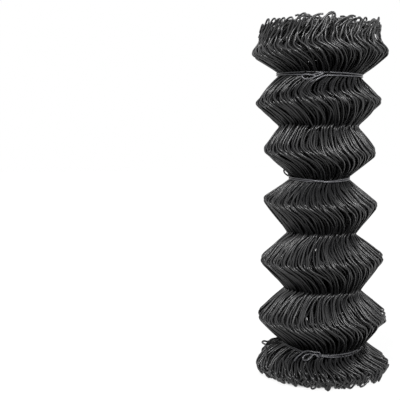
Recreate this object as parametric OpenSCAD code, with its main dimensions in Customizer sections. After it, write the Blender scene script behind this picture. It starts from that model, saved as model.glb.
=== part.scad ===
// A compacted roll of chain-link fencing, tied with wire and standing on end.
// The pickets fold flat against each other as the fabric is wound up tight, so
// each row of diamonds swells to a crown, with a narrow waist between two rows.
// The lowest row is half a diamond high, because the fabric ends at a crown.
// +Z runs up the axis of the roll, and z = 0 is the level that it stands on.
// The front of the roll is at -Y.

/* [Fabric] */
// Diameter of the coated fence wire
wire_d = 2.8; // [2:0.1:4]
// Side of one diamond of the mesh
mesh_size = 60; // [55:1:70]
// Turns of fabric in the roll
turns = 8; // [6:1:11]
// Diameter of the open core
bore_d = 24; // [16:1:34]

/* [Row heights] */
// Height of the lowest waist above the floor
foot_row_h = 50; // [44:0.5:60]
// Height of the lowest crown above the floor
foot_crown_h = 19; // [12:0.5:22]
// How much the tying stretched the three rows below the middle tie
lower_stretch = [1, 4, 1]; // [-8:0.5:8]
// How much the tying stretched the two rows above the middle tie
upper_stretch = [-6, -8]; // [-8:0.5:8]
// Height of the top row above its waist
head_row_h = 89.5; // [84:0.5:100]
// Height of the top crown above its waist
head_crown_h = 33.5; // [30:0.5:38]
// Height of the straight side of the head
head_side_h = 20; // [10:0.5:24]
// How far the crowns below the middle tie sit above the middle of their rows
lower_crown_rise = [-1, 6.5, 3.5]; // [-4:0.5:8]
// How far the crowns above the middle tie sit above the middle of their rows
upper_crown_rise = [-1, -1]; // [-4:0.5:8]

/* [Row widths] */
// Radius of the ring that the roll stands on
foot_r = 95; // [85:0.5:97]
// Crown radii of the four rows below the middle tie, from the foot up
lower_crown_r = [104.5, 101.5, 96.5, 88.5]; // [88:0.5:110]
// Crown radii of the three rows above the middle tie
upper_crown_r = [87.5, 96, 107.5]; // [86:0.5:115]
// Waist radii below the middle tie, from the foot up
lower_waist_r = [69.5, 61.5, 55.5]; // [40:0.5:72]
// Waist radii from the middle tie up
upper_waist_r = [45.5, 61.5, 65]; // [40:0.5:72]
// Radius of the rim of the head
head_r = 93; // [85:0.5:97]
// Rounding of the crowns
crown_round = 9; // [5:0.5:11]
// Rounding of the rim of the head
rim_round = 8; // [5:0.5:11]
// Height of the head's middle above its rim
dome_h = 6; // [0:0.5:10]

/* [Ties] */
// Diameter of the tie wire
tie_d = 2.8; // [2:0.1:3.4]
// Clearance between the ties and the fabric
tie_gap = 0.2; // [0.1:0.05:0.3]
// Length and width of the head tie's eye
head_eye = [29, 9]; // [8:0.5:30]
// Length and width of the foot tie's eye
foot_eye = [20, 12]; // [8:0.5:30]
// Outer diameter of the loop that sticks out of the middle tie
loop_d = 9; // [8:0.5:14]

/* [Hidden] */

// Smoothness of the roll, of the small bends and of the wire, and the arcs' step
roll_fn = 96;
bend_fn = 48;
wire_fn = 24;
arc_step = 10;

wire_colour = [0.11, 0.11, 0.12];
tie_colour = [0.16, 0.16, 0.17];

// Radii of all crowns and waists, from the foot up
crown_r = concat(lower_crown_r, upper_crown_r);
waist_r = concat(lower_waist_r, upper_waist_r);
waists = len(waist_r);

// Which waist each tie sits in
foot_waist = 0;
middle_waist = len(lower_waist_r);
head_waist = waists - 1;

// Where the wraps and the loop lie, as a turn about the axis from the front
head_wrap_turn = 4;
middle_wrap_turn = 6;
foot_wrap_turn = -2;
loop_turn = -82;

// A row between two waists is one diamond high, stretched or squeezed by the ties
stretch = concat(lower_stretch, upper_stretch);
function row_h(i) = mesh_size * sqrt(2) + stretch[i];
function waist_z(i) = i == 0 ? foot_row_h : waist_z(i - 1) + row_h(i - 1);
roll_h = waist_z(head_waist) + head_row_h;

// Height of each crown: the two end rows have their own, the rest sit near the middle
crown_rise = concat(lower_crown_rise, upper_crown_rise);
function crown_z(i) =
    i == 0 ? foot_crown_h :
    i == waists ? waist_z(head_waist) + head_crown_h :
    (waist_z(i - 1) + waist_z(i)) / 2 + crown_rise[i - 1];

// The ties' two strands touch and are fused where they do
strand_step = 0.93 * tie_d;
band_h = strand_step + tie_d;

// Straight neck of a waist, as high as a tie with a little play above and below
neck_play = 1.2;
neck_h = band_h + 2 * neck_play;

// Grooves between the turns, as wide and as deep as the wire
groove_w = wire_d;
groove_d = wire_d;

// The outline is a chain of rounds, each [radius from the axis, height, rounding],
// joined by straight lines that touch them on the outside.
function crown(i) = [[crown_r[i] - crown_round, crown_z(i), crown_round]];
function neck(i) = [
    [waist_r[i], waist_z(i) - neck_h / 2, 0],
    [waist_r[i], waist_z(i) + neck_h / 2, 0]];
foot_edge = [foot_r, 0, 0];
rim_z = roll_h - dome_h;
rim = [head_r - rim_round, rim_z - rim_round, rim_round];
head_side = [head_r, rim_z - rim_round - head_side_h, 0];
outline = concat(
    [foot_edge],
    [for (i = [0 : waists - 1]) each concat(crown(i), neck(i))],
    crown(waists),
    [head_side, rim]);

// Direction that the line touching rounds a and b faces, in degrees from outwards
function facing(a, b) =
    let (run = b.x - a.x, rise = b.y - a.y)
    atan2(rise, run) - acos((a.z - b.z) / norm([run, rise]));

// Points of round k of the outline: its arc, or the corner itself
function round_points(k) =
    let (o = outline[k])
    o.z == 0 ? [[o.x, o.y]] :
    let (from = facing(outline[k - 1], o),
         to = k < len(outline) - 1 ? facing(o, outline[k + 1]) : 90,
         steps = max(1, ceil(abs(to - from) / arc_step)))
    [for (s = [0 : steps])
        let (a = from + (to - from) * s / steps)
        [o.x + o.z * cos(a), o.y + o.z * sin(a)]];

// Radius of the groove between turn k and the next one, on an end of radius end_r
function groove_r(k, end_r) = bore_d / 2 + (end_r - bore_d / 2) * k / turns;

// Height of the head at a radius: a shallow dome over its rim
function dome_z(r) = roll_h - dome_h * pow(r / rim.x, 2);

// One groove of the head, from its outer edge inwards
function head_groove(r) = [
    [r + groove_w / 2, dome_z(r + groove_w / 2)],
    [r, dome_z(r) - groove_d],
    [r - groove_w / 2, dome_z(r - groove_w / 2)]];

// One groove of the foot, from its inner edge outwards
function foot_groove(r) = [
    [r - groove_w / 2, 0], [r, groove_d], [r + groove_w / 2, 0]];

section = concat(
    [for (k = [0 : len(outline) - 1]) each round_points(k)],
    [for (k = [turns - 1 : -1 : 1]) each head_groove(groove_r(k, rim.x))],
    [[bore_d / 2, dome_z(bore_d / 2)], [bore_d / 2, 0]],
    [for (k = [1 : turns - 1]) each foot_groove(groove_r(k, foot_r))]);

module fence_roll() {
    color(wire_colour)
        rotate_extrude($fn = roll_fn) polygon(section);
}

// Radius of the middle of the tie's strands around waist i
function strand_r(i) = waist_r[i] + tie_gap + tie_d / 2;

// Two strands of tie wire around waist i
module strands(i) {
    translate([0, 0, waist_z(i)])
        rotate_extrude($fn = roll_fn)
            for (side = [-1, 1])
                translate([strand_r(i), side * strand_step / 2])
                    circle(d = tie_d, $fn = wire_fn);
}

// Puts a child in front of the middle of waist i's strands, turned about the axis
// from the front of the roll, and further out by a distance
module on_strands(i, turn, out) {
    rotate([0, 0, turn])
        translate([0, -strand_r(i) - out, waist_z(i)])
            children();
}

// The end that wraps up over both strands
module wrap() {
    height = band_h - tie_d / 2;
    translate([0, 0, -height / 2]) cylinder(d = tie_d, h = height, $fn = wire_fn);
    for (side = [-1, 1])
        translate([0, 0, side * height / 2]) sphere(d = tie_d, $fn = wire_fn);
}

// A long eye bent from the tie wire, flat in the XZ plane, from x = 0 to the left
module eye(size) {
    bend_r = (size.y - tie_d) / 2;
    run = size.x - size.y;
    translate([-size.x / 2 + tie_d / 2, 0, 0])
        rotate([90, 0, 0]) {
            for (side = [-1, 1]) {
                translate([side * run / 2, 0, 0])
                    rotate([0, 0, -90 * side])
                        rotate_extrude(angle = 180, $fn = bend_fn)
                            translate([bend_r, 0]) circle(d = tie_d, $fn = wire_fn);
                translate([-run / 2, side * bend_r, 0])
                    rotate([0, 90, 0]) cylinder(d = tie_d, h = run, $fn = wire_fn);
            }
        }
}

// A tie whose eye lies flat over its strands, from the wrap to the left
module eyed_tie(i, turn, eye_size) {
    color(tie_colour) {
        strands(i);
        on_strands(i, turn, tie_d / 2) wrap();
        on_strands(i, turn, tie_d) eye(eye_size);
    }
}

module head_tie() {
    eyed_tie(head_waist, head_wrap_turn, head_eye);
}

module foot_tie() {
    eyed_tie(foot_waist, foot_wrap_turn, foot_eye);
}

// The middle tie has its wrap in front, and a round loop that sticks out at the left
module middle_tie() {
    color(tie_colour) {
        strands(middle_waist);
        on_strands(middle_waist, middle_wrap_turn, tie_d / 2) wrap();
        on_strands(middle_waist, loop_turn, loop_d / 2)
            rotate([0, 90, 0])
                rotate_extrude($fn = bend_fn)
                    translate([(loop_d - tie_d) / 2, 0]) circle(d = tie_d, $fn = wire_fn);
    }
}

fence_roll();
head_tie();
middle_tie();
foot_tie();
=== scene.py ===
"""The looks of a compact roll of chain-link fencing, standing on end.

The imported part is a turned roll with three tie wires. Here the roll is dressed with its
real wire: every picket of the fabric, folded at each crown and waist of the roll's
outline, with its ends knuckled over, and the ties bent from soft wire.
Sizes are in millimetres until a piece is made, and angles in radians.
"""
import math
import random

import bpy
from mathutils import Matrix, Vector


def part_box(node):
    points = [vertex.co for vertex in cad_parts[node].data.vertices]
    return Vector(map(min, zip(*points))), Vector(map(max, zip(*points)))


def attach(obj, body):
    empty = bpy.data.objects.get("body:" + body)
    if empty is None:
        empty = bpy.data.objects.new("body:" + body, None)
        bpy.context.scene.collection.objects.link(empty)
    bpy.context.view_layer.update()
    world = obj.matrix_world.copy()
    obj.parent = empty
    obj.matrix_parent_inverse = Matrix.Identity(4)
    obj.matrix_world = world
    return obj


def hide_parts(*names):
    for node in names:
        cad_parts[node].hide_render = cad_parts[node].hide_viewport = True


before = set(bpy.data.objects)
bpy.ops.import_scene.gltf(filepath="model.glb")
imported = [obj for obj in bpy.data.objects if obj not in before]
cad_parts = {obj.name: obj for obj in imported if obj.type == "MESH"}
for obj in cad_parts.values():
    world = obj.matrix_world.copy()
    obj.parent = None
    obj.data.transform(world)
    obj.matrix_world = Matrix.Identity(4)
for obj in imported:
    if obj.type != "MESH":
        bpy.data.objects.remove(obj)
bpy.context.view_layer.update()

MM = 0.001
FRONT = -math.pi / 2
FULL_TURN = 2 * math.pi

# The fabric
WIRE_D = 2.8
WIRE_R = WIRE_D / 2
TURNS = 8
CORE_R = 13.5                 # middle of the innermost wires at a waist
PICKET_STEP = 4.2             # from one picket to the next around a waist
LOOSE_EDGE = math.radians(188)    # where the outer turn starts
EDGE_OUT = 0.02               # how far it may stand out, as a share of the roll's thickness
FOOT_PULL = 4.5               # how far the lowest tie pulls the fabric in
HEAD_PULL = 2.5               # how far the highest tie does
OUTER_SIDES, INNER_SIDES = 8, 6   # sides of a wire's section, in the outer turn and inside
FIRST_CORE_TURN = 4           # counted from 0, the outer turn

# Folds: how far a bend reaches up each leg, the share of it by which the rounding cuts the
# corner, and how far linked pickets lean together
CROWN_BEND = 5.0
WAIST_BEND = 5.0
SHOULDER_BEND = 9.0
BEND_CUT = 0.35
CROWN_PAIR = 1.3
WAIST_PAIR = 0.4
NEAR_AXIS = 12                # radius below which a shift sideways turns a wire no further

# The head
HEAD_CORE_R = 22.0            # radius of the innermost ends
HEAD_ARCH_H = 8.5             # height of the highest arches
HEAD_LEAN = 5.0               # how far the rim leans to the right
RIM_H = 552.5                 # top of the outer turn's arches
SECOND_RIM_H = 544.0          # top of the second turn's; the core rises above both
RIM_WAVE = 4.0                # how far the rim rises in front and behind, and falls beside
RIM_TILT = 1.0                # how far it falls at the right, and rises at the left
RIM_DROP = 1.6                # how far all of it is lowered
END_IN = 4                    # how far the ends stand inside the turned roll's side
SHOULDER_IN = 2               # how far the shoulders do
SHOULDER_DOWN = 2             # how far they are below it
ARCHES = 0.76                 # share of the ends that arch over
HOOKS = 0.16                  # share of the ends that hook

# The foot. A pair is an amount in front, and what is added to it at the left and taken off
# it at the right.
FOOT_CORE_R = 38.0            # radius of the innermost ends
FOOT_OUT = 3                  # how far the foot reaches past the turned roll's
STUB_ROOM = 1                 # how far its wires stand in, for the stubs outside them
FOOT_LOOP_H = 4.5             # height of the highest loops
FLOOR_PLAY = 0.3              # gap between the lowest ones and the floor
LEAST_PLAY = 0.05             # what a loop that leans has to keep of it
LEAST_FALL = 0.75             # how far a wire at least points down into its loop
FOOT_FLARE = (1.5, 3.5)       # how far the wires bulge between the lowest tie and the foot
FOOT_PAIR = (2.4, 1.6)        # how far the legs of a pair spread apart

# Scatter, as the spread of a random draw: no two wires lie quite alike
BOW_SPREAD = 0.2              # of a leg's bow, as a share of it
LEAN_SPREAD = 1.9             # of the middle of a leg, sideways
WAVE_SPREAD = 0.9             # of the S that the leg lies in
PROUD_SPREAD = 0.9            # of the middle of the leg, outwards
MEAN_PROUD = 0.4
END_SPREAD = (1.5, 2.2, 2.5)      # of an end at the head: outwards, up and sideways
SHOULDER_SPREAD = (1.2, 2, 1.6)
CROWN_SPREAD = (1.2, 1.9, 1.4)    # a crown strays inwards only
WAIST_SPREAD = (0.6, 1.0, 0.8)
LOOSE_CROWN = 1.6             # how many times as far the lowest crowns stray
FOOT_R_SPREAD = (1.8, 0.9)    # of an end at the foot outwards, as a pair
FOOT_SIDE_SPREAD = (3.8, 2.8)     # and sideways, as a pair
OUTER_FOOT_UP = (1.5, 2.8)    # middle and spread of its height above the lowest, outer turn
INNER_FOOT_UP = (0, 1.4)      # the same in the inner turns, which stand on the floor

# How far around the roll a wire swings along a leg, from the crown: share of the leg, and
# the angle. Above a crown it comes down steeply to a knee and slants from there.
LOW_KNEE = [(0.0, 0.0), (0.1, -0.033), (0.2, -0.052), (0.32, -0.066), (0.45, -0.076),
            (0.58, -0.077), (0.7, -0.062), (0.8, -0.03), (0.9, 0.03), (1.0, 0.1)]
PLAIN_KNEE = [(0.0, 0.0), (0.05, -0.026), (0.1, -0.046), (0.18, -0.072), (0.24, -0.083),
              (0.4, -0.1), (0.52, -0.111), (0.66, -0.11), (0.78, -0.09), (0.88, -0.04),
              (0.95, 0.01), (1.0, 0.055)]
SHARP_KNEE = [(0.0, 0.0), (0.1, -0.054), (0.2, -0.1), (0.27, -0.126), (0.33, -0.135),
              (0.5, -0.141), (0.65, -0.138), (0.75, -0.133), (0.84, -0.125), (0.92, -0.106),
              (1.0, -0.07)]
TURNED_KNEE = [(0.0, 0.0), (0.1, -0.052), (0.2, -0.1), (0.28, -0.13), (0.34, -0.136),
               (0.46, -0.126), (0.58, -0.106), (0.7, -0.066), (0.8, -0.006), (0.9, 0.08),
               (1.0, 0.18)]
HIGH_KNEE = [(0.0, 0.0), (0.08, -0.05), (0.155, -0.092), (0.2, -0.106), (0.27, -0.114),
             (0.4, -0.122), (0.55, -0.127), (0.7, -0.122), (0.82, -0.1), (0.9, -0.055),
             (0.95, -0.01), (1.0, 0.04)]
KNEE_OF_FOOT = [(0.0, 0.0), (0.2, -0.048), (0.38, -0.096), (0.5, -0.12), (0.62, -0.132),
                (0.72, -0.13), (0.82, -0.11), (0.9, -0.075), (1.0, -0.01)]
KNEES = [KNEE_OF_FOOT, HIGH_KNEE, LOW_KNEE, PLAIN_KNEE, SHARP_KNEE, TURNED_KNEE]
BELOW_CROWN = [(0.0, 0.0), (0.11, 0.06), (0.22, 0.12), (0.33, 0.17), (0.45, 0.21),
               (0.6, 0.246), (0.75, 0.273), (0.87, 0.287), (0.95, 0.282), (1.0, 0.248)]
SWING_BELOW = [1.0, 1.0, 1.15, 1.15, 1.3, 0.82, 0.68]    # how much of it each row has
HEAD_LEG = [(0.0, 0.0), (0.12, -0.06), (0.21, -0.103), (0.27, -0.12), (0.36, -0.129),
            (0.48, -0.127), (0.62, -0.102), (0.8, -0.045), (1.0, 0.03)]
FOOT_LEG = [(0.0, 0.0), (0.5, 0.02), (1.0, 0.03)]

# How far the crowns and waists stray in height at the left, in front and at the right, and
# how far in radius, from the foot up: the winding leaves none of them quite true
CROWNS_RISE = [(0, 0, 0), (0, -1, 5), (-4, -3, 1), (4.5, -3, 0), (6, -3, 0), (-2, 2, -1),
               (0, 0, 0)]
WAISTS_RISE = [(0, 0, 0), (1.5, 0, -3), (0, 0, -3), (0, 0, 0), (2.3, 0, -1.6), (0, 0, 0)]
CROWNS_SWELL = [(0, 0, 0), (0, 0, 0), (-1, 0, 0), (0, 0, 0), (0, 0, 0), (0, 0, 0), (-7, -3, 0)]
WAISTS_SWELL = [(0, 0, 0), (-3.5, -1, 0), (-2, -1, 0), (-1.2, 0, -1.5), (1.5, 0, -1),
                (-2, 0, 2.2)]
DIP_REACH = math.radians(120)     # how far around the roll a tie rises from its lowest place

rng = random.Random(11)


# ---------------------------------------------------------------- outline of the roll

SAME_R = 0.1                  # radii this near to each other count as one


def roll_rings():
    """Widest radius of the turned roll at each height of its mesh, without its end faces."""
    foot_grooves, head_dome = 4, 7      # a little more than the height of each
    widest = {}
    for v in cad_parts["fence_roll"].data.vertices:
        height = round(v.co.z / MM, 2)
        widest[height] = max(widest.get(height, 0), math.hypot(v.co.x, v.co.y) / MM)
    top = max(widest)
    return [(z, r) for z, r in sorted(widest.items()) if foot_grooves < z < top - head_dome]


def crowns_and_waists(rings):
    """Crowns, and the waists between them, as (height, radius) from the foot up."""
    crowns = [rings[i] for i in range(1, len(rings) - 1)
              if rings[i - 1][1] < rings[i][1] >= rings[i + 1][1]]
    waists = []
    for below, above in zip(crowns, crowns[1:]):
        between = [(z, r) for z, r in rings if below[0] < z < above[0]]
        narrow = min(r for z, r in between)
        heights = [z for z, r in between if r < narrow + SAME_R]
        waists.append((sum(heights) / len(heights), narrow))
    return crowns, waists


def straight_side(rings, from_height):
    """Lower end of the head's straight side, as (height, radius)."""
    side = [ring for ring in rings if ring[0] > from_height]
    for (z, r), (_, next_r) in zip(side, side[1:]):
        if abs(next_r - r) < SAME_R:
            return z, r
    return side[-1]


rings = roll_rings()
crowns, waists = crowns_and_waists(rings)
side_z, side_r = straight_side(rings, crowns[-1][0])
roll_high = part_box("fence_roll")[1].z / MM
foot_r = max(math.hypot(v.co.x, v.co.y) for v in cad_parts["fence_roll"].data.vertices
             if v.co.z < MM) / MM

# The waists with a tie, which draws the lowest and the highest one in
FOOT_WAIST, MIDDLE_WAIST, HEAD_WAIST = 0, 3, len(waists) - 1
for tied, pull in ((FOOT_WAIST, FOOT_PULL), (HEAD_WAIST, HEAD_PULL)):
    waists[tied] = (waists[tied][0], waists[tied][1] - pull)
waist_thick = [r - WIRE_R - CORE_R for z, r in waists]

# How the ties pull their waists out of level: how far up, how far down at the right, where
# they dip, in degrees from the front, and how deep
OUT_OF_LEVEL = {FOOT_WAIST: (0.3, 0, 28, 5.7), MIDDLE_WAIST: (-1.2, 1.0, 15, 1.8),
                HEAD_WAIST: (0.7, 3.0, 0, 0)}


def winding(wound):
    """Depth in the roll after an angle of winding, as a share of its thickness. The
    turned outline lies halfway between the start and the end of the outer turn, and the
    start is drawn tight."""
    return max((wound / FULL_TURN - 0.5) / TURNS, -EDGE_OUT)


def leftward(pair, angle):
    """An amount that grows from the right of the roll to its left."""
    in_front, more = pair
    return in_front - more * math.cos(angle)


def stray(table, i, angle):
    """Value at an angle, from the values at the left, in front and at the right."""
    left, front, right = table[i]
    middle = (left + right) / 2
    around = angle - FRONT
    return (middle + (right - left) / 2 * math.sin(around)
            + (front - middle) * math.cos(around))


def dip(angle, lowest, depth):
    """How far a tie that dips is above or below its level. It is lowest at an angle from
    the front, in degrees, and highest behind."""
    away = abs((angle - FRONT - math.radians(lowest) + math.pi) % FULL_TURN - math.pi)
    return -depth * math.cos(math.pi / DIP_REACH * min(away, DIP_REACH))


def waist_height(i, angle):
    """Height of a waist at an angle."""
    level = waists[i][0]
    if i not in OUT_OF_LEVEL:
        return level + stray(WAISTS_RISE, i, angle)
    lift, fall, lowest, depth = OUT_OF_LEVEL[i]
    return level + lift - fall * math.sin(angle - FRONT) + dip(angle, lowest, depth)


def below_crown(i):
    """The swing of the leg below crown i."""
    return [(share, angle * SWING_BELOW[i]) for share, angle in BELOW_CROWN]


def rim_rise(angle):
    """The rim of the head isn't level: it is highest in front and behind."""
    around = angle - FRONT
    return RIM_WAVE * math.cos(2 * around) - RIM_TILT * math.sin(around) - RIM_DROP


# ---------------------------------------------------------------- materials

SCUFFS_PER_M = 90.0           # the mottle's patches are about 11 mm across


def linear(hex_colour):
    """An sRGB hex colour as linear RGBA."""
    parts = [int(hex_colour[i:i + 2], 16) / 255 for i in (1, 3, 5)]
    return [c / 12.92 if c <= 0.04045 else ((c + 0.055) / 1.055) ** 2.4 for c in parts] + [1.0]


def add(tree, kind, settings=None, **inputs):
    """Adds a node with its settings, and sets or links its inputs. An input is named, or
    numbered after an underscore."""
    node = tree.nodes.new(kind)
    for key, value in (settings or {}).items():
        setattr(node, key, value)
    for key, value in inputs.items():
        socket = node.inputs[int(key[1:]) if key[0] == "_" else key.replace("_", " ")]
        if isinstance(value, bpy.types.NodeSocket):
            tree.links.new(value, socket)
        else:
            socket.default_value = value
    return node


def coated_wire(name, dark, light, roughness):
    """Soft PVC, extruded over steel wire: near black, with a satin skin that takes a
    long soft highlight along each wire, and faint scuffs and dust that mottle it."""
    material = bpy.data.materials.new(name)
    material.use_nodes = True
    tree = material.node_tree
    skin = tree.nodes["Principled BSDF"]
    place = add(tree, "ShaderNodeTexCoord").outputs["Object"]
    mottle = add(tree, "ShaderNodeTexNoise", Vector=place, Scale=SCUFFS_PER_M,
                 Detail=3.0)
    tint = add(tree, "ShaderNodeMix", {"data_type": "RGBA"}, _0=mottle.outputs["Fac"])
    tint.inputs["A"].default_value = linear(dark)
    tint.inputs["B"].default_value = linear(light)
    tree.links.new(tint.outputs["Result"], skin.inputs["Base Color"])
    gloss = add(tree, "ShaderNodeMapRange", Value=mottle.outputs["Fac"],
                To_Min=roughness - 0.06, To_Max=roughness + 0.08)
    tree.links.new(gloss.outputs["Result"], skin.inputs["Roughness"])
    skin.inputs["IOR"].default_value = 1.5
    return material


def seen_rays(tree):
    """1 for the rays that see a thing itself: in the camera, in gloss or through glass."""
    path = add(tree, "ShaderNodeLightPath")
    seen = add(tree, "ShaderNodeMath", {"operation": "MAXIMUM"},
               _0=path.outputs["Is Camera Ray"], _1=path.outputs["Is Glossy Ray"])
    seen = add(tree, "ShaderNodeMath", {"operation": "MAXIMUM"},
               _0=seen.outputs[0], _1=path.outputs["Is Transmission Ray"])
    return seen.outputs[0]


def white_world():
    """White behind the object and in reflections, and a softer light from all around."""
    world = bpy.data.worlds.new("studio")
    bpy.context.scene.world = world
    world.use_nodes = True
    tree = world.node_tree
    strength = add(tree, "ShaderNodeMapRange", Value=seen_rays(tree), To_Min=0.03, To_Max=1.0)
    backdrop = tree.nodes["Background"]
    backdrop.inputs["Color"].default_value = (1, 1, 1, 1)
    tree.links.new(strength.outputs["Result"], backdrop.inputs["Strength"])


def floor_finish():
    """Pale studio floor: it glows white where it is seen, and its own shade holds the shadow.
    No light gets in under the roll, so the glow ends inside its foot, as painted shade under
    the roll."""
    material = bpy.data.materials.new("studio_floor")
    material.use_nodes = True
    tree = material.node_tree
    tree.nodes.remove(tree.nodes["Principled BSDF"])
    place = add(tree, "ShaderNodeTexCoord").outputs["Object"]
    away = add(tree, "ShaderNodeVectorMath", {"operation": "LENGTH"}, _0=place).outputs["Value"]
    # The glow falls to nothing under the roll: painted shade where no light reaches
    glow_cut_by_painted_shade = add(tree, "ShaderNodeMapRange", Value=away, From_Min=0.07, From_Max=0.085,
              To_Max=0.93).outputs["Result"]
    clear = add(tree, "ShaderNodeMapRange", Value=away, From_Min=0.15, From_Max=0.7,
                To_Max=0.07).outputs["Result"]
    white_with_painted_shade = add(tree, "ShaderNodeMath", {"operation": "ADD"}, _0=glow_cut_by_painted_shade, _1=clear).outputs[0]
    glow = add(tree, "ShaderNodeMath", {"operation": "MULTIPLY"}, _0=white_with_painted_shade, _1=seen_rays(tree))
    shade = add(tree, "ShaderNodeBsdfDiffuse", Color=(0.12, 0.12, 0.12, 1))
    shine = add(tree, "ShaderNodeEmission", Strength=glow.outputs[0])
    both = add(tree, "ShaderNodeAddShader", _0=shade.outputs[0], _1=shine.outputs[0])
    tree.links.new(both.outputs[0], tree.nodes["Material Output"].inputs["Surface"])
    return material


# ---------------------------------------------------------------- wires

def wire_piece(name, routes, diameter, sides, material, curved=False):
    """Round wires along routes, each a list of points in millimetres, as one mesh. Curved
    wires bend smoothly through their points."""
    curve = bpy.data.curves.new(name, "CURVE")
    curve.dimensions = "3D"
    curve.bevel_depth = diameter / 2 * MM
    curve.bevel_resolution = sides // 2 - 2     # which gives the section that many sides
    curve.resolution_u = 3
    curve.use_fill_caps = True
    for route in routes:
        spline = curve.splines.new("BEZIER" if curved else "POLY")
        if curved:
            spline.bezier_points.add(len(route) - 1)
            for point, place in zip(spline.bezier_points, route):
                point.co = place * MM
                point.handle_left_type = point.handle_right_type = "AUTO"
        else:
            spline.points.add(len(route) - 1)
            for point, place in zip(spline.points, route):
                point.co = (*(place * MM), 1)
    draft = bpy.data.objects.new(name + "_draft", curve)
    bpy.context.scene.collection.objects.link(draft)
    graph = bpy.context.evaluated_depsgraph_get()
    mesh = bpy.data.meshes.new_from_object(draft.evaluated_get(graph))
    bpy.data.objects.remove(draft)
    bpy.data.curves.remove(curve)
    mesh.materials.clear()
    mesh.materials.append(material)
    mesh.polygons.foreach_set("use_smooth", [True] * len(mesh.polygons))
    piece = bpy.data.objects.new(name, mesh)
    bpy.context.scene.collection.objects.link(piece)
    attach(piece, "root")
    return piece


def round_point(angle, radius, height):
    return Vector((radius * math.cos(angle), radius * math.sin(angle), height))


def along(table, share):
    """Value of a smooth curve through a table of (share, value)."""
    last = len(table) - 1
    i = next((k for k in range(last) if share <= table[k + 1][0]), last - 1)
    (a, low), (b, high) = table[i], table[i + 1]
    before, after = table[max(i - 1, 0)], table[min(i + 2, last)]
    width = b - a
    slope_low = width * (high - before[1]) / (b - before[0])
    slope_high = width * (after[1] - low) / (after[0] - a)
    t = (share - a) / width
    return ((1 + 2 * t) * (1 - t) ** 2 * low + t * (1 - t) ** 2 * slope_low
            + t * t * (3 - 2 * t) * high + t * t * (t - 1) * slope_high)


class Fold:
    """A bend of a picket: its place in the roll's section, how far its rounding reaches
    along the wire, a small shift sideways, and its angle around the roll."""

    def __init__(self, radius, height, bend, shift):
        self.place = Vector((radius, height))
        self.bend = bend
        self.shift = shift
        self.angle = 0


class Leg:
    """The wire between two folds. Its swing is read from a table between two shares."""

    def __init__(self, start, end, table, share_from, share_to):
        self.start = start
        self.end = end
        self.table = table
        self.shares = (share_from, share_to)
        self.total = along(table, share_to) - along(table, share_from)
        self.bow = rng.gauss(1, BOW_SPREAD)
        self.lean = rng.gauss(0, LEAN_SPREAD)
        self.wave = rng.gauss(0, WAVE_SPREAD)
        self.proud = rng.gauss(MEAN_PROUD, PROUD_SPREAD)
        self.length = (end.place - start.place).length
        self.way = (end.place - start.place) / self.length
        end.angle = start.angle + self.total

    def swing(self, t):
        first, last = self.shares
        bent = along(self.table, first + (last - first) * t) - along(self.table, first)
        even = self.total * t
        return even + (bent - even) * self.bow

    def stops(self, marks):
        """Distances from the start: around both bends, and between them."""
        low, high = self.start.bend, self.end.bend
        inner = [low + (self.length - low - high) * m for m in marks["leg"]]
        first = [low * m for m in marks["bend"]] if low else [0]
        last = [self.length - high * m for m in reversed(marks["bend"][1:])]
        return first + inner + (last if high else [])

    def point(self, stop, before, after):
        t = stop / self.length
        place = self.start.place + self.way * stop
        bend = self.start.bend
        if bend and stop < bend:
            place = place + (self.way - before) * (bend - stop) ** 2 / (4 * bend)
        bend, left = self.end.bend, self.length - stop
        if bend and left < bend:
            place = place + (after - self.way) * (bend - left) ** 2 / (4 * bend)
        ease = t * t * (3 - 2 * t)
        shift = self.start.shift + (self.end.shift - self.start.shift) * ease
        hump = math.sin(math.pi * t)
        radius = place.x + self.proud * hump * hump
        shift += self.lean * hump + self.wave * math.sin(FULL_TURN * t)
        angle = self.start.angle + self.swing(t) + shift / max(radius, NEAR_AXIS)
        return round_point(angle, radius, place.y)


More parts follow.
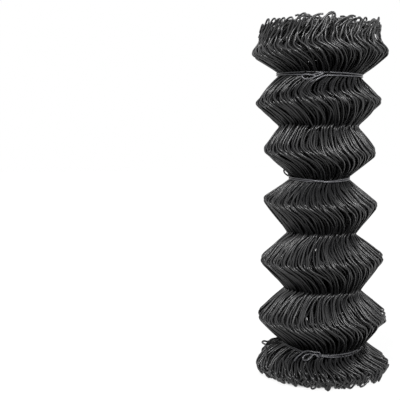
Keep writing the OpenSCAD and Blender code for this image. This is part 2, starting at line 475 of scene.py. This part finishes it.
class Picket:
    """One zigzag wire of the fabric, from the head to the foot of the roll."""

    def __init__(self, number, wound):
        self.side = 1 if number % 2 else -1
        self.wound = wound
        self.angle = LOOSE_EDGE + wound
        self.turn = int(wound // FULL_TURN)
        self.depth = winding(wound)
        self.legs = []
        self.lay_head()
        for i in reversed(range(len(waists))):
            below = below_crown(i + 1)
            self.go_to(self.waist(i, self.last.angle + below[-1][1]), below, 0, 1)
            self.go_to(self.crown(i), KNEES[i], 1, 0)
        self.legs[-1].proud += leftward(FOOT_FLARE, self.last.angle)
        self.go_to(self.foot(), FOOT_LEG, 0, 1)

    def inset(self, thick):
        return WIRE_R + self.depth * thick

    def go_to(self, fold, table, share_from, share_to):
        self.legs.append(Leg(self.last, fold, table, share_from, share_to))
        self.last = fold

    def lay_head(self):
        """The end, the shoulder below the head's straight side, and the top crown."""
        fan = side_r - HEAD_CORE_R
        outwards, up, aside = END_SPREAD
        if self.turn == 0:
            top = RIM_H
        else:
            top = SECOND_RIM_H + (roll_high - SECOND_RIM_H) * self.depth
        top += rim_rise(self.angle) * (1 - max(self.depth, 0)) + rng.gauss(0, up)
        lean = HEAD_LEAN * math.cos(self.angle)
        end = Fold(side_r - END_IN + lean - self.inset(fan) + rng.gauss(0, outwards),
                   min(top, roll_high) - HEAD_ARCH_H - WIRE_R, 0, rng.gauss(0, aside))
        end.angle = self.angle
        thick = (waist_thick[-1] + fan) / 2
        outwards, up, aside = SHOULDER_SPREAD
        radius = side_r - SHOULDER_IN + lean / 2 - self.inset(thick)
        shoulder = Fold(radius + rng.gauss(0, outwards),
                        side_z - SHOULDER_DOWN + rng.gauss(0, up),
                        SHOULDER_BEND, rng.gauss(0, aside))
        crown = self.crown(len(crowns) - 1)
        upper = (shoulder.place - end.place).length
        lower = (crown.place - shoulder.place).length
        knee = lower / (upper + lower)
        self.last = end
        self.go_to(shoulder, HEAD_LEG, 1, knee)
        self.go_to(crown, HEAD_LEG, knee, 0)

    def crown(self, i):
        z, r = crowns[i]
        near = waist_thick[max(0, i - 1):i + 1]
        radius = r + BEND_CUT * CROWN_BEND + stray(CROWNS_SWELL, i, self.angle)
        radius -= self.inset(sum(near) / len(near))
        height = z + stray(CROWNS_RISE, i, self.angle)
        loose = LOOSE_CROWN if i == 0 else 1.0
        inwards, up, aside = CROWN_SPREAD
        return Fold(radius - abs(rng.gauss(0, inwards)), height + loose * rng.gauss(0, up),
                    CROWN_BEND, -self.side * CROWN_PAIR + loose * rng.gauss(0, aside))

    def waist(self, i, angle):
        radius = waists[i][1] - BEND_CUT * WAIST_BEND + stray(WAISTS_SWELL, i, angle)
        radius -= self.inset(waist_thick[i])
        outwards, up, aside = WAIST_SPREAD
        return Fold(radius + rng.gauss(0, outwards), waist_height(i, angle) + rng.gauss(0, up),
                    WAIST_BEND, self.side * WAIST_PAIR + rng.gauss(0, aside))

    def foot(self):
        """The outer turn ends above the floor, and the inner turns stand on it. The legs
        of a pair spread apart."""
        edge = foot_r + FOOT_OUT
        radius = edge - self.inset(edge - FOOT_CORE_R)
        lowest = FOOT_LOOP_H + WIRE_R + FLOOR_PLAY
        up = abs(rng.gauss(*(OUTER_FOOT_UP if self.turn == 0 else INNER_FOOT_UP)))
        outwards = leftward(FOOT_R_SPREAD, self.angle)
        aside = leftward(FOOT_SIDE_SPREAD, self.angle)
        apart = self.side * leftward(FOOT_PAIR, self.angle)
        return Fold(radius - STUB_ROOM + rng.gauss(0, outwards), lowest + up, 0,
                    apart + rng.gauss(0, aside))

    def route(self, marks):
        """The picket's points in space, from the head to the foot."""
        points = []
        for i, leg in enumerate(self.legs):
            before = self.legs[i - 1].way if i else leg.way
            after = self.legs[i + 1].way if i + 1 < len(self.legs) else leg.way
            points += [leg.point(stop, before, after) for stop in leg.stops(marks)]
        points.append(leg.point(leg.length, before, after))
        return points


KNUCKLE_STEPS = 7
STUB_SAGS = (0.3, 0.7)        # how much of its lean the two halves of a stub have


def knuckle(end, onward, side, width, height, sweep, stub, out, lie=0):
    """The bent end of a picket: it goes on from its end, turns over sideways and runs back
    as a stub. sweep is how far it turns, out is how far the stub lies outwards, and lie is
    how far it leans back in to its tip."""
    outward = Vector((end.x, end.y, 0)).normalized()
    points = []
    for i in range(1, KNUCKLE_STEPS + 1):
        t = sweep * i / KNUCKLE_STEPS
        points.append(end + side * width / 2 * (1 - math.cos(t)) + onward * height * math.sin(t)
                      + outward * out * i / KNUCKLE_STEPS)
    back = (points[-1] - points[-2]).normalized()
    for sag in STUB_SAGS:
        points.append(points[-1] + back * stub * 0.5 - outward * lie * sag)
    return points


def sideways(point, turn):
    return Vector((-point.y, point.x, 0)).normalized() * turn


def head_end(points, side):
    """Most ends arch over their neighbour, some only hook, and a few stand up."""
    end = points[0]
    onward = (points[0] - points[2]).normalized()
    across = sideways(end, side)
    kind = rng.random()
    out = rng.uniform(-3, 1.5)
    if kind < ARCHES:
        return knuckle(end, onward, across, width=rng.uniform(8, 14),
                       height=rng.uniform(6, HEAD_ARCH_H), sweep=rng.uniform(2.7, 3.5),
                       stub=rng.uniform(5, 13), out=out)
    if kind < ARCHES + HOOKS:
        return knuckle(end, onward, across, width=rng.uniform(8, 12),
                       height=rng.uniform(3, 5.5), sweep=rng.uniform(1.6, 2.3),
                       stub=rng.uniform(1, 4), out=out)
    return [end + onward * rng.uniform(1, 3), end + onward * rng.uniform(3.5, 6.5)]


def foot_end(points, side):
    """Ends at the foot turn back in narrow loops, with a long stub beside the wire."""
    end = points[-1]
    onward = (points[-1] - points[-3]).normalized()
    onward.z = min(onward.z, -LEAST_FALL)
    onward.normalize()
    height = min(FOOT_LOOP_H, (end.z - WIRE_R - LEAST_PLAY) / -onward.z)
    return knuckle(end, onward, sideways(end, side), width=rng.uniform(4.5, 7), height=height,
                   sweep=rng.uniform(2.8, 3.6), stub=rng.uniform(7, 16),
                   out=rng.uniform(0.5, 2.5), lie=4.5)


# Where the points of a wire lie along its bends and its legs, in the outer turn, in the
# second one and in the rest
STOPS = [{"bend": [0, 0.33, 0.67, 1], "leg": [0.06, 0.2, 0.35, 0.5, 0.65, 0.8, 0.94]},
         {"bend": [0, 0.33, 0.67, 1], "leg": [0.08, 0.28, 0.5, 0.72, 0.92]},
         {"bend": [0, 0.9], "leg": [0.3, 0.7]}]


def lay_pickets():
    """All pickets, from the loose edge of the outer turn inwards along the spiral."""
    mean_waist = sum(r for z, r in waists) / len(waists) - WIRE_R
    pickets = []
    wound = 0.0
    while wound < TURNS * FULL_TURN:
        pickets.append(Picket(len(pickets), wound))
        wound += PICKET_STEP / (mean_waist - winding(wound) * (mean_waist - CORE_R))
    return pickets


def whole_route(picket):
    points = picket.route(STOPS[min(picket.turn, len(STOPS) - 1)])
    head = head_end(points, picket.side)
    foot = foot_end(points, -picket.side)
    return head[::-1] + points + foot


def fabric(material):
    """The pickets, in pieces: the outer turn in two halves, the second turn, and the rest
    a few turns at a time."""
    groups = {}
    for picket in lay_pickets():
        if picket.turn == 0:
            name = "pickets_outer_turn_a" if picket.wound < math.pi else "pickets_outer_turn_b"
        elif picket.turn == 1:
            name = "pickets_second_turn"
        elif picket.turn < FIRST_CORE_TURN:
            name = "pickets_middle_turns"
        else:
            name = "pickets_core_turns"
        groups.setdefault(name, []).append(picket)
    for name, pickets in groups.items():
        sides = OUTER_SIDES if pickets[0].turn == 0 else INNER_SIDES
        routes = [whole_route(picket) for picket in pickets]
        piece = wire_piece(name, routes, WIRE_D, sides, material)
        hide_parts("fence_roll")


# ---------------------------------------------------------------- ties

TIE_D = 2.5
TIE_OUT = 1.9                 # middle of the strands, outside the waist's wires
EDGE_BRIDGE = 0.4             # angle over which a tie rises to the loose edge
TIE_STEP = 9                  # longest step along a tie, in degrees


def tie_radius(waist, angle):
    """Middle of a tie's strands: it lies on the outer turn, and bridges its loose edge."""
    wound = (angle - LOOSE_EDGE) % FULL_TURN
    depth = winding(wound)
    if wound > FULL_TURN - EDGE_BRIDGE:
        share = (wound - FULL_TURN + EDGE_BRIDGE) / EDGE_BRIDGE
        depth = winding(FULL_TURN - EDGE_BRIDGE) * (1 - share) + winding(0) * share
    return waists[waist][1] + TIE_OUT - depth * waist_thick[waist]


def tie(name, node, waist, route, material):
    """A tie, from its route around a waist: degrees from the front, height above the
    waist's middle, and distance outwards."""
    marks = []
    for start, end in zip(route, route[1:]):
        steps = max(math.ceil(abs(end[0] - start[0]) / TIE_STEP), 1)
        for i in range(steps):
            t = i / steps
            marks.append([a + (b - a) * t for a, b in zip(start, end)])
    marks.append(route[-1])
    points = []
    for degrees, up, out in marks:
        angle = FRONT + math.radians(degrees)
        points.append(round_point(angle, tie_radius(waist, angle) + out,
                                  waist_height(waist, angle) + up))
    piece = wire_piece(name, [points], TIE_D, OUTER_SIDES, material, curved=True)
    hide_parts(node)


# The ties' routes, as tie takes them: an end, two turns round the roll, and the other end
HEAD_TIE = [(-11.3, -13.6, 3.4), (-5.3, -10.4, 3.2), (0.7, -7.4, 3.0), (4.5, -4.8, 2.0),
            (8, -3.0, 0.8), (14, -2.2, 0), (36, -2.1, 1.0), (60, -1.6, 2.0), (90, -1.3, 2.8),
            (160, -1.3, 1.0), (180, 0, 0.4), (200, 1.3, -0.6), (270, 1.3, -2), (313, 1.5, -1.4),
            (342, 2.4, 0), (355, 2.5, 0.2), (365, 2.4, 0.2), (380, 2.2, 0.4), (396, 2.1, 1.0),
            (420, 1.6, 2.0), (450, 1.3, 2.8), (520, 1.3, 1.4), (540, 0, 3.0), (560, -1.3, 0),
            (630, -1.3, -2), (680, -1.4, -1), (702, -2.0, 0.5), (712, -2.0, 1.2),
            (718, -0.5, 2.6), (723, 1.0, 3.6), (726, 0.9, 4.0), (724.5, -0.9, 4.2),
            (718.2, -4.2, 4.0), (711.3, -7.4, 3.8), (706.1, -8.6, 3.6), (702.1, -6.9, 3.6),
            (700.3, -4.4, 3.7), (701.7, -2.4, 3.7), (708.8, -1.8, 3.6), (714.8, -2.7, 2.6),
            (718, -3.6, 1.0)]
MIDDLE_TIE = [(-2, -1.3, -2.5), (6, -1.3, -0.6), (14, -1.3, 0), (90, -1.3, -1.2),
              (180, -1.3, -0.6), (270, -1.3, -1.8), (320, -1.3, -0.8), (366, -1.3, 0),
              (385, -0.4, 0), (400, 1.25, -0.2), (450, 1.25, -1.2), (540, 1.25, -0.6),
              (620, 1.3, -1.6), (634, 1.5, -1.2), (637, 3.2, 1.6), (639, 5.6, 4.4),
              (640.5, 8.6, 6.4), (641, 11.4, 6.6), (641.5, 13, 4.4), (642, 11.2, 2.0),
              (643, 7.4, 0.4), (645, 3.4, -0.8), (650, 1.3, -1.6), (690, 1.25, -0.5),
              (704, 1.0, 0.4), (712, 0.4, 1.7), (720, 0, 2.2), (728, 0, 2.0)]
FOOT_TIE = [(-14, 1.4, 5.2), (-19, -1.8, 7.2), (-20.3, -6.2, 10.2), (-16.6, -7.4, 11.2),
            (-11.7, -3.2, 8), (-9, 1.4, 4.8), (-5, 1.8, 3.0), (0, -0.3, 1.2), (6, -1.3, 0.3),
            (30, -1.9, -0.4), (60, -1.8, -2), (90, -1.4, -2.6), (160, -1.3, -3),
            (270, -1.3, -5), (334, -1.3, -5.4), (350, -0.8, -1), (364, 1.0, 0.4),
            (390, 1.9, -0.4), (420, 1.6, -2), (450, 1.3, -2.6), (540, 1.3, -3),
            (630, 1.3, -5), (682, 1.3, -4.6), (702, 1.2, 0.6), (714, 0.4, 2.6),
            (718.6, -1.5, 3.4), (718.9, 2.0, 4.4), (718.6, 5.6, 4.2), (716, 5.8, 3.8),
            (713, 5.4, 4.2), (707, 6.0, 4.4), (700.8, 4.2, 5.2), (696, -1.5, 8.4),
            (692.5, -7, 12), (691, -11.5, 14)]

# Two wires that have come loose above the foot, at the left: degrees from the front,
# radius and height
LOOSE_WIRES = [
    [(-86, 58, 55.5), (-83, 65.8, 56.9), (-82.5, 76.9, 56.5), (-81.7, 83.5, 52.9),
     (-81.1, 90.5, 54.1), (-80.2, 92.6, 52.6), (-79.2, 90, 50.4), (-78, 86.4, 49.4),
     (-77.9, 76.1, 52.9), (-77.7, 65.8, 55.7), (-78, 58, 55)],
    [(-75, 58, 51), (-76, 75, 52.5), (-75.8, 84, 53.2), (-74.4, 88, 51.2), (-69.1, 90, 44.4),
     (-66.8, 91.5, 39.2), (-62, 94, 31.9)]]


def loose_wires(material):
    routes = [[round_point(FRONT + math.radians(degrees), r, z) for degrees, r, z in wire]
              for wire in LOOSE_WIRES]
    piece = wire_piece("loose_wires", routes, WIRE_D, OUTER_SIDES, material,
                       curved=True)
    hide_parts("fence_roll")


# ---------------------------------------------------------------- studio

# The studio is in metres
LAMP_AIM = Vector((0, 0, 0.28))
CAMERA_PLACE = (0, -1.385, 0.400)
CAMERA_LEFT, CAMERA_DOWN, CAMERA_ROLL = 7.7, 5.03, -1.28      # in degrees


def lamp(name, place, size, power):
    """A round lamp of a size, aimed at the middle of the roll."""
    light = bpy.data.lights.new(name, "AREA")
    light.shape = "DISK"
    light.size = size
    light.energy = power
    holder = bpy.data.objects.new(name, light)
    holder.location = place
    aim = LAMP_AIM - holder.location
    holder.rotation_euler = aim.to_track_quat("-Z", "Y").to_euler()
    bpy.context.scene.collection.objects.link(holder)


def studio():
    bpy.ops.mesh.primitive_plane_add(size=12)
    floor = bpy.context.object
    floor.name = "studio_floor"
    floor.data.materials.append(floor_finish())
    white_world()
    lamp("front_left", (-0.3, -1.4, 1.45), 0.4, 36)
    lamp("front_right", (0.7, -1.3, 1.3), 0.4, 22)
    lamp("right", (1.6, -0.3, 0.9), 0.6, 6)


def camera():
    """At the roll's upper half, looking slightly down, with the roll right of the middle."""
    lens = bpy.data.cameras.new("camera")
    lens.lens = 79.7
    lens.sensor_width = 36
    lens.clip_end = 50
    holder = bpy.data.objects.new("camera", lens)
    turn = (Matrix.Rotation(math.radians(CAMERA_LEFT), 4, "Z")
            @ Matrix.Rotation(math.radians(90 - CAMERA_DOWN), 4, "X")
            @ Matrix.Rotation(math.radians(CAMERA_ROLL), 4, "Z"))
    holder.matrix_world = Matrix.Translation(CAMERA_PLACE) @ turn
    bpy.context.scene.collection.objects.link(holder)
    bpy.context.scene.camera = holder


camera()
studio()
# The tie wires are painted lighter than the fabric, as painted light where they face up to the
# lamps, and the lowest one a little darker, as painted shade under the roll's overhang
mesh_wire = coated_wire("black_pvc_wire", "#121213", "#1b1b1c", 0.35)
painted_light_tie_finish = coated_wire("black_pvc_tie_wire_painted_light", "#404043", "#4c4c50", 0.3)
painted_shade_foot_tie_finish = coated_wire("black_pvc_foot_tie_wire_painted_shade", "#2e2e31", "#39393d", 0.33)
fabric(mesh_wire)
loose_wires(mesh_wire)
tie("tie_wire_head", "head_tie", HEAD_WAIST, HEAD_TIE, painted_light_tie_finish)
tie("tie_wire_middle", "middle_tie", MIDDLE_WAIST, MIDDLE_TIE, painted_light_tie_finish)
tie("tie_wire_foot", "foot_tie", FOOT_WAIST, FOOT_TIE, painted_shade_foot_tie_finish)

bpy.context.scene.view_settings.view_transform = "Standard"
